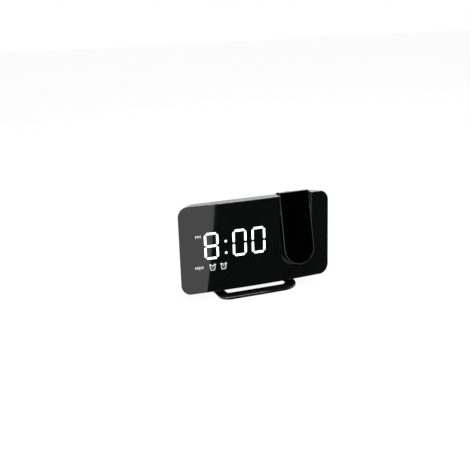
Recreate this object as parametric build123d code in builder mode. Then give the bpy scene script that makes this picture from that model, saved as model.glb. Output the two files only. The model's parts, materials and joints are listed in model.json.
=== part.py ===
from build123d import *

import os
from math import cos, hypot, pi, radians, sin, sqrt

# Projection alarm clock with a curved front panel, a swing arm in a through notch and a loop stand.
# Frame: +X right, +Y back, +Z up, millimetres; the origin is on the table, in the middle of the
# clock's whole outline. Every piece is drawn on its rear plane and extruded forwards, towards -Y.

# ---- case ----
face_w = 186.8            # front panel, side to side
face_h = 103.8            # front panel, bottom to top
face_bow = 4.3            # how far the middle of the panel stands ahead of its two ends
face_corner_r = 12.0
slab_corner_r = 15.0      # corners of the case where its housings part
back_corner_r = 11.0      # corners round the rear wall
panel_t = 2.0
front_wall = 1.6          # wall of the front housing behind the panel
wall = 2.0
slab_depth = 8.5          # from the ends of the panel to the parting line of the housings
case_depth = 33.7         # from the ends of the panel to the rear wall
slab_inset = 6.0          # how far each side slants in over the slab
rear_inset = 15.5         # how far each side slants in over the whole depth
rear_drop = 9.2           # how far the top falls from the parting line to the rear wall
rear_corner_r = 5.0
edge_r = 0.8              # broken edge round the panel
case_lift = 10.1          # from the table to the underside of the case
fit = 0.3                 # clearance round pieces that move or drop in
bore_gap = 0.05           # radial running clearance of pins and shafts

# ---- projector arm ----
arm_w = 37.5
arm_t = 13.0
arm_inset = 44.1          # from the panel's right end to the middle of the arm
arm_up = 23.1             # from the pivot to the arm's top
arm_down = 63.0           # from the pivot to the arm's round end
arm_wall = 1.3
arm_edge_r = 0.8
arm_back_r = 2.8
arm_bulge = 4.5           # how much further back the arm's lower part reaches
bulge_head = -8.0         # where the bulge starts, above the pivot
bulge_foot = -20.0        # where it reaches its full depth
bulge_r = 10.0            # rounding of its two bends
arm_tilt = radians(11.7)  # how far the arm is swung at rest, its lower end forwards
pivot_back = 8.0          # from the arm's front face to the pivot
pivot_drop = 21.5         # from the top of the case to the pivot
pin_r = 2.2
pin_bore_r = 1.2
pin_head_r = 3.4
pin_head_t = 1.5
pin_boss_r = 4.0
pin_boss_l = 3.0
clip_r = 3.2
clip_t = 0.8
clip_play = 0.2
washer_r = 4.0
side_gap = 1.4            # from the arm to the side of the notch
end_gap = 0.8             # from the swing of the arm's round end to the bottom of the notch

# ---- stand ----
loop_x = 2.6
loop_w = 101.2
loop_bar = 11.8           # width of the side bars
loop_front_bar = 15.2
loop_rear_bar = 12.0
loop_t = 3.0
loop_corner_r = 11.5      # left corners of the loop, outside and inside
loop_inner_r = 3.0
loop_end_r = 24.5         # its rounder right end, outside and inside
loop_end_inner_r = 11.5
loop_edge_r = 1.3
rib_w = 6.0               # the ribs that carry the underside of the case
rib_l = 11.0
rib_back = 17.0           # from the ends of the panel back to the ribs
loop_front = 11.3         # from the ends of the panel forwards to the loop's front edge
loop_behind = 9.6         # from the rear wall back to the loop's rear edge
upright_x = -0.6
upright_w = 48.0
upright_h = 38.0
upright_t = 3.0
gusset_t = 2.5
pad_r = 4.0
pad_inset = 9.0           # from the left side of the loop to the middle of a pad
pad_end_inset = 17.2      # and from its round right end
pad_t = 1.2
pad_sunk = 0.6            # how far a foot pad sits inside the loop

# ---- display ----
digit_w = 16.8
digit_h = 31.6
stroke = 2.6
stroke_gap = 1.1          # between the mitred ends of two strokes
digit_level = 3.6         # middle of the digits above the middle of the panel
digit_from_box = (-23.8, 9.9, 33.1)    # middles of the digits, from the middle of the light box
colon_from_box = -6.7
colon_rise = (7.3, -6.5)
colon_r = 1.4
box_w = 94.0
box_h = 60.0
box_level = -1.0
box_flange = 2.0
box_floor = 1.2           # web between the chambers and the display board
board_t = 1.2
display_board_y = 5.5     # front of the display board, behind the ends of the panel
led_w = 1.8
led_h = 1.6
led_t = 0.8

# ---- buttons, speaker, sockets and cell ----
travel = 0.7
button_r = 3.4
button_out = 0.8
button_flange = 1.0
stem_r = 1.6
button_pitch = 14.0
button_inset = 29.15      # from the notch to the middle column of buttons
button_rise = (26.0, 14.0)
switch_w = 6.0
switch_h = 3.5
plunger_r = 1.5
switch_play = 0.2
snooze_w = 60.0
snooze_depth = 6.0
snooze_from_box = 12.0
speaker_rise = 10.0
speaker_r = 18.0
rim_t = 1.2
basket_l = 7.2
magnet_r = 9.0
magnet_l = 4.0
cone_l = 4.6
coil_r = 6.0
grille_r = 14.5
grille_slot = 1.6
grille_pitch = 3.2
usb_x = -55.0
usb_rise = -37.0
usb_w = 13.1
usb_h = 5.7
usb_wall = 0.5
inlet_x = -36.0
inlet_w = 9.0
inlet_bore_r = 2.75
inlet_pin_r = 1.0
socket_recess = 0.4
cell_r = 10.0
cell_t = 3.2
cell_rise = -8.0
well_wall = 1.5
door_r = 12.0
door_t = 2.0

# ---- main board ----
main_board_y = 18.5       # front of the main board, behind the ends of the panel
board_inset = 5.15        # from the notch to the board's right edge
board_w = 52.0
board_z0, board_z1 = -46.0, 30.0
board_arm_l = 35.0        # the board's lower arm, under the speaker
board_arm_top = -14.0
standoff_r = 2.6
board_post_inset = 4.0    # from the board's right edge to the posts beside it
board_post_rises = (20.0, -12.0)
left_post = (6.0, 26.0)   # in from the board's left edge, and up from the middle of the case
arm_post = (5.0, -20.0)   # in from the end of the board's lower arm

# ---- screws ----
screw_r = 1.25
screw_head_r = 2.6
screw_head_t = 1.6
post_r = 4.0
post_inset = 25.4         # from the panel's left end to the left pair of posts
notch_post_inset = 17.15  # from the notch to the post beside it
post_rise = 35.0
post_fall = -43.0
post_web = 6.0            # plastic under a case screw's head
small_screw_r = 0.9
small_head_r = 1.8
small_head_t = 1.1
case_screw_bite = 3.0     # thread engaged past the plastic or board that a screw holds
board_screw_bite = 5.0
stand_screw_bite = 5.0
arm_screw_l = 7.0
arm_posts = ((-14.6, 17.5), (14.0, 17.5), (0.0, -44.0))
arm_post_r = 2.5

# ---- projector in the arm ----
optic_x = -6.0            # the light's axis, beside the middle of the arm
barrel_r = 3.75
barrel_bore_r = 3.0
barrel_l = 14.0
barrel_sunk = 1.8         # from the arm's top to the barrel
lens_travel = 1.5
lens_t = 2.5
optics_w = 11.0
optics_foot = -11.0       # underside of the optics housing, above the pivot
slide_level = 3.0
slide_t = 1.0
slide_w = 8.0
slide_play = 0.1
condenser_level = -2.0
lamp_r = 2.5
lamp_l = 5.0
sink_l = 8.0
fin_t = 0.9
knob_r = 6.5
knob_t = 2.7
knob_ribs = 24
shaft_r = 1.0
gear_module = 0.5
gear_teeth = 12
gear_t = 1.8
gear_d = -0.5             # middle of the gear, ahead of the pivot
backlash = 0.25
rack_l = 10.0
rack_back = 2.15          # from the rack's pitch line to the barrel's flank

# ---- places worked out from the sizes above ----
arm_x = face_w / 2 - arm_inset
face_r = (face_w**2 / 4 + face_bow**2) / (2 * face_bow)


def bow_at(x):
    """How far the panel's front stands ahead of its ends at x."""
    return sqrt(face_r**2 - x**2) - (face_r - face_bow)


pivot_from_ends = pivot_back - bow_at(arm_x)
tip_reach = pivot_back * cos(arm_tilt) + arm_down * sin(arm_tilt) - pivot_from_ends
face_y = (tip_reach - case_depth - loop_behind) / 2      # the panel's two ends
rear_y = face_y + case_depth
parting_y = face_y + slab_depth
front_y = face_y - face_bow
face_z = case_lift + face_h / 2
top_z = case_lift + face_h
far = 2 * (face_w + case_depth)                          # longer than any piece

pivot_y = face_y + pivot_from_ends
pivot_z = top_z - pivot_drop
pivot = Vector(arm_x, pivot_y, pivot_z)
notch_r = arm_w / 2 + side_gap
left_x = -face_w / 2
notch_x = arm_x - notch_r                                # the notch's left side
arm_back = arm_t - pivot_back                            # from the pivot to the arm's rear face
arm_low_back = arm_back + arm_bulge                      # the same, over the lower part
swing_r = hypot(arm_down, max(pivot_back, arm_low_back))
notch_bottom = pivot_z - swing_r - end_gap
notch_arc_z = notch_bottom + notch_r

box_x = (left_x + notch_x) / 2
digit_x = [box_x + offset for offset in digit_from_box]
colon_x = box_x + colon_from_box
snooze_x = box_x + snooze_from_box
button_x = cell_x = notch_x - button_inset
board_x1 = notch_x - board_inset
board_x0 = board_x1 - board_w
board_arm_x0 = board_x0 - board_arm_l
board_posts = (
    (board_x0 + left_post[0], left_post[1]),
    (board_x1 - board_post_inset, board_post_rises[0]),
    (board_arm_x0 + arm_post[0], arm_post[1]),
    (board_x1 - board_post_inset, board_post_rises[1]),
)
case_posts = (
    (left_x + post_inset, post_rise),
    (notch_x - notch_post_inset, post_rise),
    (left_x + post_inset, post_fall),
    (arm_x, post_fall),
)
# the speaker sits midway between the case's left side and the buttons
speaker_x = (left_x + rear_inset + wall + button_x - button_pitch - button_r) / 2

optic_d = (pivot_back - arm_back) / 2                    # the light's axis, ahead of the pivot


def at_depth(y):
    """Upright plane at y, looking forwards."""
    return Plane.XZ.offset(-y)


def arm_plane(d):
    """Plane along the arm, d ahead of the pivot; its second axis runs up the arm."""
    frame = Plane(origin=pivot, x_dir=(1, 0, 0), z_dir=(0, -cos(arm_tilt), sin(arm_tilt)))
    return frame.offset(d)


def arm_section(u):
    """Plane across the arm, u up from the pivot; its second axis runs back."""
    frame = Plane(origin=pivot, x_dir=(1, 0, 0), z_dir=(0, sin(arm_tilt), cos(arm_tilt)))
    return frame.offset(u)


arm_side = Plane(origin=pivot, x_dir=arm_plane(0).z_dir, z_dir=(-1, 0, 0))
arm_forwards = Axis(pivot, arm_plane(0).z_dir)
arm_upwards = Axis(pivot, arm_section(0).z_dir)


# ---- shapes that several pieces share ----
def case_form(inset):
    """The case as one solid, with its outside moved in by inset."""
    half, slab_half, rear_half = face_w / 2, face_w / 2 - slab_inset, face_w / 2 - rear_inset
    ahead = face_bow / slab_depth
    sections = (
        (front_y, half + slab_inset * ahead, top_z, face_corner_r - (slab_corner_r - face_corner_r) * ahead),
        (parting_y, slab_half, top_z, slab_corner_r),
        (rear_y, rear_half, top_z - rear_drop, back_corner_r),
    )
    with BuildPart() as form:
        with BuildSketch(Plane.XY) as plan:
            with BuildLine():
                bow = ThreePointArc((-half, face_y), (0, front_y), (half, face_y))
                Polyline(
                    bow @ 1,
                    (slab_half, parting_y),
                    (rear_half, rear_y),
                    (-rear_half, rear_y),
                    (-slab_half, parting_y),
                    bow @ 0,
                )
            make_face()
            fillet(plan.vertices().group_by(Axis.Y)[-1], rear_corner_r)
            if inset:
                offset(amount=-inset, kind=Kind.INTERSECTION)
        extrude(amount=top_z)
        for y, section_half, section_top, corner_r in sections:
            with BuildSketch(at_depth(y)):
                with Locations((0, (case_lift + section_top) / 2)):
                    RectangleRounded(
                        2 * (section_half - inset),
                        section_top - case_lift - 2 * inset,
                        corner_r - inset,
                    )
        loft(ruled=True, mode=Mode.INTERSECT)
        with BuildSketch(Plane.YZ) as side:
            with BuildLine():
                Polyline(
                    (front_y - face_h, case_lift),
                    (rear_y, case_lift),
                    (rear_y, top_z - rear_drop),
                    (parting_y, top_z),
                    (front_y - face_h, top_z),
                    close=True,
                )
            make_face()
            if inset:
                offset(amount=-inset, kind=Kind.INTERSECTION)
        extrude(amount=far, both=True, mode=Mode.INTERSECT)
    return form.part


def behind_face(depth):
    """All that lies more than depth behind the panel's curved front."""
    half = face_w / 2
    with BuildPart() as space:
        with BuildSketch(Plane.XY):
            with BuildLine():
                bow = ThreePointArc((-half, face_y + depth), (0, front_y + depth), (half, face_y + depth))
                Polyline(
                    bow @ 1,
                    (face_w, face_y + depth),
                    (face_w, far),
                    (-face_w, far),
                    (-face_w, face_y + depth),
                    bow @ 0,
                )
            make_face()
        extrude(amount=2 * top_z, both=True)
    return space.part


def notch_form(grow):
    """The arm's U-shaped notch right through the case, made larger by grow."""
    with BuildPart() as notch:
        with BuildSketch(at_depth(rear_y)):
            with Locations((arm_x, notch_arc_z)):
                Circle(notch_r + grow)
            with Locations((arm_x, notch_arc_z + face_h / 2)):
                Rectangle(2 * (notch_r + grow), face_h)
        extrude(amount=far, both=True)
    return notch.part


def stroke_points(length):
    """Corners of one stroke along X, tip to tip, with 45-degree ends."""
    tip, shoulder, half = length / 2, (length - stroke) / 2, stroke / 2
    return (-tip, 0), (-shoulder, -half), (shoulder, -half), (tip, 0), (shoulder, half), (-shoulder, half)


def display_marks(back):
    """Strokes of the digits, as bars that run forwards from the plane at back through the panel."""
    across_x = digit_w / 2 - stroke / 2
    across_z = digit_h / 2 - stroke / 2
    flat = stroke_points(2 * across_x - sqrt(2) * stroke_gap)
    tall = stroke_points(across_z - sqrt(2) * stroke_gap)
    middle_z = face_z + digit_level
    with BuildPart() as marks:
        for number, x in enumerate(digit_x):
            with BuildSketch(at_depth(back)):
                levels = (-across_z, 0, across_z) if number == 0 else (-across_z, across_z)
                with Locations(*[(x, middle_z + level) for level in levels]):
                    Polygon(*flat, align=None)
                for side in (-across_x, across_x):
                    with Locations(*[(x + side, middle_z + rise) for rise in (-across_z / 2, across_z / 2)]):
                        Polygon(*tall, rotation=90, align=None)
            extrude(amount=back - front_y + panel_t)
    return marks.part


def colon_marks(back):
    """The colon's two dots, as bars that run forwards from the plane at back through the panel."""
    with BuildPart() as marks:
        with BuildSketch(at_depth(back)):
            with Locations(*[(colon_x, face_z + rise) for rise in colon_rise]):
                Circle(colon_r)
        extrude(amount=back - front_y + panel_t)
    return marks.part


def arm_form(inset):
    """The arm as one solid, with its outside moved in by inset."""
    with BuildPart() as form:
        with BuildSketch(arm_plane(-arm_low_back)):
            with Locations((0, arm_w / 2 - arm_down)):
                Circle(arm_w / 2 - inset)
            straight = arm_down - arm_w / 2 + arm_up - inset
            with Locations((0, arm_up - inset - straight / 2)):
                Rectangle(arm_w - 2 * inset, straight)
        extrude(amount=arm_low_back + pivot_back)
        with BuildSketch(arm_side) as side:
            with BuildLine():
                Polyline(
                    (pivot_back, 2 * arm_up),
                    (pivot_back, -2 * arm_down),
                    (-arm_low_back, -2 * arm_down),
                    (-arm_low_back, bulge_foot),
                    (-arm_back, bulge_head),
                    (-arm_back, 2 * arm_up),
                    close=True,
                )
            make_face()
            if inset:
                offset(amount=-inset, kind=Kind.INTERSECTION)
            fillet(side.vertices().sort_by(Axis.Y)[2:4], bulge_r)
        extrude(amount=arm_w, both=True, mode=Mode.INTERSECT)
        if not inset:
            front_edges = form.faces().sort_by(arm_forwards)[-1].edges()
            bend_edges = form.edges().filter_by(Axis.X).sort_by(arm_upwards)[:-2]
            rear_edges = form.edges() - front_edges - bend_edges - form.edges().filter_by(arm_forwards)
            fillet(rear_edges, arm_back_r)
            fillet(form.faces().sort_by(arm_forwards)[-1].edges(), arm_edge_r)
    return form.part


def screws(plane, places, head_r, head_t, shank_r, shank_l):
    """Cross-slot screws: heads stand back from the plane and shanks run forwards from it."""
    with BuildPart() as group:
        with BuildSketch(plane):
            with Locations(*places):
                Circle(head_r)
        extrude(amount=-head_t)
        with BuildSketch(plane):
            with Locations(*places):
                Circle(shank_r)
        extrude(amount=shank_l)
        with BuildSketch(plane.offset(-head_t)):
            with Locations(*places):
                Rectangle(head_r * 1.3, head_r * 0.3)
                Rectangle(head_r * 0.3, head_r * 1.3)
        extrude(amount=head_t / 2, mode=Mode.SUBTRACT)
    return group


outer = case_form(0)
inner = case_form(wall)
notch = notch_form(0)
notch_walled = notch_form(wall)
behind_panel = behind_face(panel_t)
behind_front_wall = behind_face(panel_t + front_wall)
box_back = face_y + display_board_y
digits = display_marks(box_back - box_floor)
colon = colon_marks(box_back - box_floor)

with BuildPart() as cavity:
    add(inner)
    add(notch_walled, mode=Mode.SUBTRACT)

# ---- front panel: gloss black, with the lit strokes as clear-white inserts moulded through it ----
with BuildPart() as front_panel:
    add(outer)
    add(behind_panel, mode=Mode.SUBTRACT)
    add(notch, mode=Mode.SUBTRACT)
    bows = front_panel.faces().filter_by(GeomType.CYLINDER).sort_by(SortBy.AREA)[-2:]
    fillet(bows.sort_by(Axis.Y)[0].edges(), edge_r)
    add(digits, mode=Mode.SUBTRACT)
    add(colon, mode=Mode.SUBTRACT)

with BuildPart() as digit_windows:
    add(digits)
    add(outer, mode=Mode.INTERSECT)
    add(behind_panel, mode=Mode.SUBTRACT)

with BuildPart() as colon_windows:
    add(colon)
    add(outer, mode=Mode.INTERSECT)
    add(behind_panel, mode=Mode.SUBTRACT)

# ---- front housing: a tray behind the panel, open to the back ----
post_places = [(x, face_z + rise) for x, rise in case_posts]
box_middle = (box_x, face_z + box_level)
pin_ends = (arm_x - notch_r, arm_x + notch_r)
with BuildPart() as front_housing:
    add(outer)
    add(behind_panel, mode=Mode.INTERSECT)
    add(notch, mode=Mode.SUBTRACT)
    add(cavity.part & behind_front_wall, mode=Mode.SUBTRACT)
    for x, z in post_places:
        with BuildSketch(at_depth(parting_y)):
            with Locations((x, z)):
                Circle(post_r)
        extrude(amount=slab_depth + bow_at(x) - panel_t - front_wall / 2)
        with BuildSketch(at_depth(parting_y)):
            with Locations((x, z)):
                Circle(screw_r + bore_gap)
        extrude(amount=slab_depth - panel_t - front_wall, mode=Mode.SUBTRACT)
    for edge_x, outwards in zip(pin_ends, (-1, 1)):
        with BuildSketch(Plane.YZ.offset(edge_x + outwards * wall / 2)):
            with Locations((pivot_y, pivot_z)):
                Circle(pin_boss_r)
        extrude(amount=outwards * (wall / 2 + pin_boss_l))
        with BuildSketch(Plane.YZ.offset(edge_x)):
            with Locations((pivot_y, pivot_z)):
                Circle(pin_r + bore_gap)
        extrude(amount=outwards * (wall + pin_boss_l), mode=Mode.SUBTRACT)
        with BuildSketch(Plane.YZ.offset(edge_x + outwards * (wall + pin_boss_l))):
            with Locations((pivot_y, pivot_z)):
                Circle(clip_r + fit)
        extrude(amount=outwards * (clip_play + clip_t + fit), mode=Mode.SUBTRACT)
    split(bisect_by=at_depth(parting_y), keep=Keep.TOP)
    with BuildSketch(at_depth(parting_y)):
        with Locations(box_middle):
            Rectangle(box_w + 2 * fit, box_h + 2 * fit)
    extrude(amount=parting_y - front_y, mode=Mode.SUBTRACT)
    with BuildSketch(Plane.XY.offset(top_z - wall)):
        with Locations((snooze_x, parting_y - wall / 2 - fit - snooze_depth / 2)):
            RectangleRounded(snooze_w + 2 * fit, snooze_depth + 2 * fit, 1 + fit)
    extrude(amount=wall, mode=Mode.SUBTRACT)

# ---- rear housing: shell with grille, button holes, cell well, sockets and screw posts ----
inside_y = rear_y - wall
button_places = [
    (button_x + column * button_pitch, face_z + rise) for rise in button_rise for column in (-1, 0, 1)
]
speaker_place = (speaker_x, face_z + speaker_rise)
cell_place = (cell_x, face_z + cell_rise)
usb_place = (usb_x, face_z + usb_rise)
inlet_place = (inlet_x, face_z + usb_rise)
board_back = face_y + main_board_y + board_t
standoff_places = [(x, face_z + rise) for x, rise in board_posts]
upright_base = loop_t + pad_t - pad_sunk
stand_screw_places = [
    (upright_x + side * upright_w / 3, upright_base + level * upright_h)
    for side in (-1, 1)
    for level in (0.4, 0.75)
]
stand_boss_l = 8.0
well_y = inside_y - cell_t - 2 * fit
with BuildPart() as rear_housing:
    add(outer)
    add(notch, mode=Mode.SUBTRACT)
    split(bisect_by=at_depth(parting_y), keep=Keep.BOTTOM)
    add(cavity.part, mode=Mode.SUBTRACT)
    # posts for the case screws, with deep counterbores from behind
    with BuildSketch(at_depth(inside_y)):
        with Locations(*post_places):
            Circle(post_r)
    extrude(amount=inside_y - parting_y)
    with BuildSketch(at_depth(rear_y)):
        with Locations(*post_places):
            Circle(screw_head_r + fit)
    extrude(amount=rear_y - parting_y - post_web, mode=Mode.SUBTRACT)
    with BuildSketch(at_depth(rear_y)):
        with Locations(*post_places):
            Circle(screw_r + fit)
    extrude(amount=rear_y - parting_y, mode=Mode.SUBTRACT)
    # standoffs for the main board, and bosses for the stand's screws
    with BuildSketch(at_depth(inside_y)):
        with Locations(*standoff_places):
            Circle(standoff_r)
    extrude(amount=inside_y - board_back)
    with BuildSketch(at_depth(board_back)):
        with Locations(*standoff_places):
            Circle(small_screw_r + bore_gap)
    extrude(amount=-stand_boss_l, mode=Mode.SUBTRACT)
    with BuildSketch(at_depth(inside_y)):
        with Locations(*stand_screw_places):
            Circle(post_r - 1)
    extrude(amount=stand_boss_l)
    with BuildSketch(at_depth(rear_y)):
        with Locations(*stand_screw_places):
            Circle(screw_r + bore_gap)
    extrude(amount=wall + stand_boss_l - 1, mode=Mode.SUBTRACT)
    # well for the coin cell
    with BuildSketch(at_depth(inside_y)):
        with Locations(cell_place):
            Circle(cell_r + fit + well_wall)
    extrude(amount=inside_y - well_y + well_wall)
    with BuildSketch(at_depth(rear_y)):
        with Locations(cell_place):
            Circle(cell_r + fit)
    extrude(amount=rear_y - well_y, mode=Mode.SUBTRACT)
    with BuildSketch(at_depth(rear_y)):
        with Locations(cell_place):
            Circle(door_r + fit)
    extrude(amount=door_t + fit, mode=Mode.SUBTRACT)
    with BuildSketch(at_depth(inside_y)):
        with Locations(cell_place):
            Circle(door_r + fit + well_wall)
            Circle(cell_r + fit, mode=Mode.SUBTRACT)
    extrude(amount=well_wall)
    with BuildSketch(at_depth(rear_y)):
        with Locations(cell_place):
            Circle(door_r + fit)
    extrude(amount=door_t + fit, mode=Mode.SUBTRACT)
    # holes for the buttons, the sockets and the sound
    with BuildSketch(at_depth(rear_y)):
        with Locations(*button_places):
            Circle(button_r + fit)
        with Locations(usb_place):
            Rectangle(usb_w + fit, usb_h + fit)
        with Locations(inlet_place):
            Rectangle(inlet_w + fit, inlet_w + fit)
    extrude(amount=wall, mode=Mode.SUBTRACT)
    with BuildSketch(at_depth(rear_y)):
        slot_rows = int(grille_r / grille_pitch)
        for row in range(-slot_rows, slot_rows + 1):
            rise = row * grille_pitch
            with Locations((speaker_x, speaker_place[1] + rise)):
                SlotOverall(2 * sqrt(grille_r**2 - rise**2), grille_slot)
    extrude(amount=wall, mode=Mode.SUBTRACT)

housing_screws = screws(
    at_depth(parting_y + post_web),
    post_places,
    screw_head_r,
    screw_head_t,
    screw_r,
    post_web + case_screw_bite,
)

# ---- display: chambered box and board behind the panel ----
flange_y = face_y + panel_t + front_wall + bore_gap
led_spots = [(colon_x, face_z + rise) for rise in colon_rise]
for number, x in enumerate(digit_x):
    side_x = digit_w / 2 - stroke / 2
    side_z = digit_h / 2 - stroke / 2
    spots = [(sx, sz) for sx in (-side_x, side_x) for sz in (-side_z / 2, side_z / 2)]
    spots += [(0, -side_z), (0, side_z)] + ([(0, 0)] if number == 0 else [])
    led_spots += [(x + sx, face_z + digit_level + sz) for sx, sz in spots]
with BuildPart() as display_light_box:
    with BuildSketch(at_depth(box_back)):
        with Locations(box_middle):
            Rectangle(box_w, box_h)
    extrude(amount=box_back - front_y)
    with BuildSketch(at_depth(box_back)):
        with Locations(box_middle):
            Rectangle(box_w + 2 * box_flange, box_h + 2 * box_flange)
    extrude(amount=box_back - flange_y)
    add(behind_face(panel_t + bore_gap), mode=Mode.INTERSECT)
    add(digits, mode=Mode.SUBTRACT)
    add(colon, mode=Mode.SUBTRACT)
    with BuildSketch(at_depth(box_back)):
        with Locations(*led_spots):
            Rectangle(led_w + fit, led_h + fit)
    extrude(amount=box_floor, mode=Mode.SUBTRACT)

tab_w = 16.0
tab_h = 8.0
board_top = box_middle[1] + box_h / 2 + box_flange
with BuildPart() as display_board:
    with BuildSketch(at_depth(box_back + board_t)):
        with Locations(box_middle):
            Rectangle(box_w + 2 * box_flange, box_h + 2 * box_flange)
        with Locations((snooze_x, board_top + tab_h / 2 - 1)):
            Rectangle(tab_w, tab_h + 2)
    extrude(amount=board_t)

with BuildPart() as display_leds:
    with BuildSketch(at_depth(box_back)):
        with Locations(*led_spots):
            Rectangle(led_w, led_h)
    extrude(amount=led_t)

# ---- snooze bar in the top of the slab, over its switch ----
snooze_y = parting_y - wall / 2 - fit - snooze_depth / 2
snooze_switch_z = board_top + tab_h - switch_w / 2
with BuildPart() as snooze_switch:
    with BuildSketch(at_depth(box_back)):
        with Locations((snooze_x, snooze_switch_z)):
            Rectangle(switch_w, switch_w)
    extrude(amount=switch_h)
    with BuildSketch(Plane.XY.offset(snooze_switch_z + switch_w / 2)):
        with Locations((snooze_x, box_back - switch_h / 2)):
            Circle(plunger_r)
    extrude(amount=1)

snooze_flange_z = top_z - wall - fit
with BuildPart() as snooze_bar:
    with BuildSketch(Plane.XY.offset(top_z)):
        with Locations((snooze_x, snooze_y)):
            RectangleRounded(snooze_w, snooze_depth, 1)
    extrude(amount=-(wall + fit + button_flange))
    with BuildSketch(Plane.XY.offset(snooze_flange_z)):
        with Locations((snooze_x, snooze_y)):
            Rectangle(snooze_w + 4 * fit + 1, snooze_depth)
    extrude(amount=-button_flange)
    stem_foot = snooze_switch_z + switch_w / 2 + 1 + travel + switch_play
    with BuildSketch(Plane.XY.offset(snooze_flange_z - button_flange)):
        with Locations((snooze_x, box_back - switch_h / 2)):
            Circle(stem_r)
    extrude(amount=-(snooze_flange_z - button_flange - stem_foot))

# ---- main board, its parts and its screws ----
with BuildPart() as main_board:
    with BuildSketch(at_depth(board_back)):
        with Locations(((board_x0 + board_x1) / 2, face_z + (board_z0 + board_z1) / 2)):
            Rectangle(board_x1 - board_x0, board_z1 - board_z0)
        with Locations(((board_arm_x0 + board_x0) / 2, face_z + (board_z0 + board_arm_top) / 2)):
            Rectangle(board_x0 - board_arm_x0, board_arm_top - board_z0)
        with Locations(*standoff_places):
            Circle(small_screw_r + bore_gap, mode=Mode.SUBTRACT)
    extrude(amount=board_t)

# the heads of the board's screws are on its front, so the group is turned to face back
board_screw_plane = Plane(origin=(0, board_back - board_t, 0), x_dir=(-1, 0, 0), z_dir=(0, 1, 0))
board_screws = screws(
    board_screw_plane,
    [(-x, z) for x, z in standoff_places],
    small_head_r,
    small_head_t,
    small_screw_r,
    board_t + board_screw_bite,
)

button_in_y = inside_y - fit - button_flange
plunger_y = board_back + switch_h + 1
stem_end_y = plunger_y + travel + switch_play
with BuildPart() as button_switches:
    with BuildSketch(at_depth(board_back + switch_h)):
        with Locations(*button_places):
            Rectangle(switch_w, switch_w)
    extrude(amount=switch_h)
    with BuildSketch(at_depth(plunger_y)):
        with Locations(*button_places):
            Circle(plunger_r)
    extrude(amount=1)


def rear_button(place):
    """One push button: domed cap outside the rear wall, flange and stem inside."""
    with BuildPart() as button:
        with BuildSketch(at_depth(rear_y + button_out)):
            with Locations(place):
                Circle(button_r)
        extrude(amount=rear_y + button_out - button_in_y)
        fillet(button.edges().sort_by(Axis.Y)[-1], button_out / 2)
        with BuildSketch(at_depth(button_in_y + button_flange)):
            with Locations(place):
                Circle(button_r + 3 * fit)
        extrude(amount=button_flange)
        with BuildSketch(at_depth(button_in_y)):
            with Locations(place):
                Circle(stem_r)
        extrude(amount=button_in_y - stem_end_y)
    return button


button_names = ("set", "plus", "minus", "alarm", "projector", "radio")
buttons = {f"{name}_button": rear_button(place) for name, place in zip(button_names, button_places)}

# ---- speaker: profiles of radius and depth from the rear wall, turned about its axis ----
speaker_axis = Plane(origin=(speaker_x, inside_y, speaker_place[1]), x_dir=(1, 0, 0), z_dir=(0, 0, 1))
cone_r = speaker_r - 2
with BuildPart() as speaker_basket:
    with BuildSketch(speaker_axis):
        with BuildLine():
            Polyline(
                (cone_r, 0),
                (speaker_r, 0),
                (speaker_r, -rim_t),
                (speaker_r - 1, -rim_t),
                (magnet_r + 1, -basket_l),
                (magnet_r, -basket_l),
                (magnet_r, -basket_l - magnet_l),
                (0, -basket_l - magnet_l),
                (0, -basket_l + rim_t / 2),
                (magnet_r, -basket_l + rim_t / 2),
                (cone_r - 1, -rim_t),
                (cone_r - 1, -rim_t / 2),
                (cone_r, -rim_t / 2),
                close=True,
            )
        make_face()
    revolve(axis=Axis((speaker_x, inside_y, speaker_place[1]), (0, 1, 0)))

with BuildPart() as speaker_cone:
    with BuildSketch(speaker_axis):
        with BuildLine():
            Polyline(
                (cone_r, 0),
                (cone_r, -rim_t / 2),
                (cone_r - 2, -rim_t / 2),
                (coil_r + 2, -cone_l),
                (coil_r, -cone_l),
                (coil_r, -basket_l + rim_t / 2),
                (coil_r - rim_t / 2, -basket_l + rim_t / 2),
                (coil_r - rim_t / 2, -cone_l + rim_t / 2),
                (coil_r + 2, -cone_l + rim_t / 2),
                (cone_r - 2, 0),
                close=True,
            )
        make_face()
    revolve(axis=Axis((speaker_x, inside_y, speaker_place[1]), (0, 1, 0)))

# ---- sockets: standard-A output and round direct-current inlet, upright on the main board ----
socket_y = rear_y - socket_recess
with BuildPart() as usb_output_port:
    with BuildSketch(at_depth(socket_y)):
        with Locations(usb_place):
            Rectangle(usb_w, usb_h)
    extrude(amount=socket_y - board_back)
    with BuildSketch(at_depth(socket_y)):
        with Locations(usb_place):
            Rectangle(usb_w - 2 * usb_wall, usb_h - 2 * usb_wall)
    extrude(amount=socket_y - board_back - 1.5, mode=Mode.SUBTRACT)

with BuildPart() as usb_tongue:
    with BuildSketch(at_depth(socket_y - 0.8)):
        with Locations((usb_x, usb_place[1] + 1.1)):
            Rectangle(usb_w - 2.2, 1.8)
    extrude(amount=socket_y - 0.8 - board_back - 1.5)

with BuildPart() as power_inlet:
    with BuildSketch(at_depth(socket_y)):
        with Locations(inlet_place):
            Rectangle(inlet_w, inlet_w)
            Circle(inlet_bore_r, mode=Mode.SUBTRACT)
    extrude(amount=socket_y - board_back)
    with BuildSketch(at_depth(board_back + 2)):
        with Locations(inlet_place):
            Rectangle(inlet_w, inlet_w)
    extrude(amount=2)

with BuildPart() as inlet_pin:
    with BuildSketch(at_depth(socket_y - 1)):
        with Locations(inlet_place):
            Circle(inlet_pin_r)
    extrude(amount=socket_y - 1 - board_back - 2)

# ---- backup cell, its contact and its door ----
with BuildPart() as cell_contacts:
    with BuildSketch(at_depth(well_y + 0.3)):
        with Locations(cell_place):
            Rectangle(cell_r, 3)
    extrude(amount=0.3)

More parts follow.
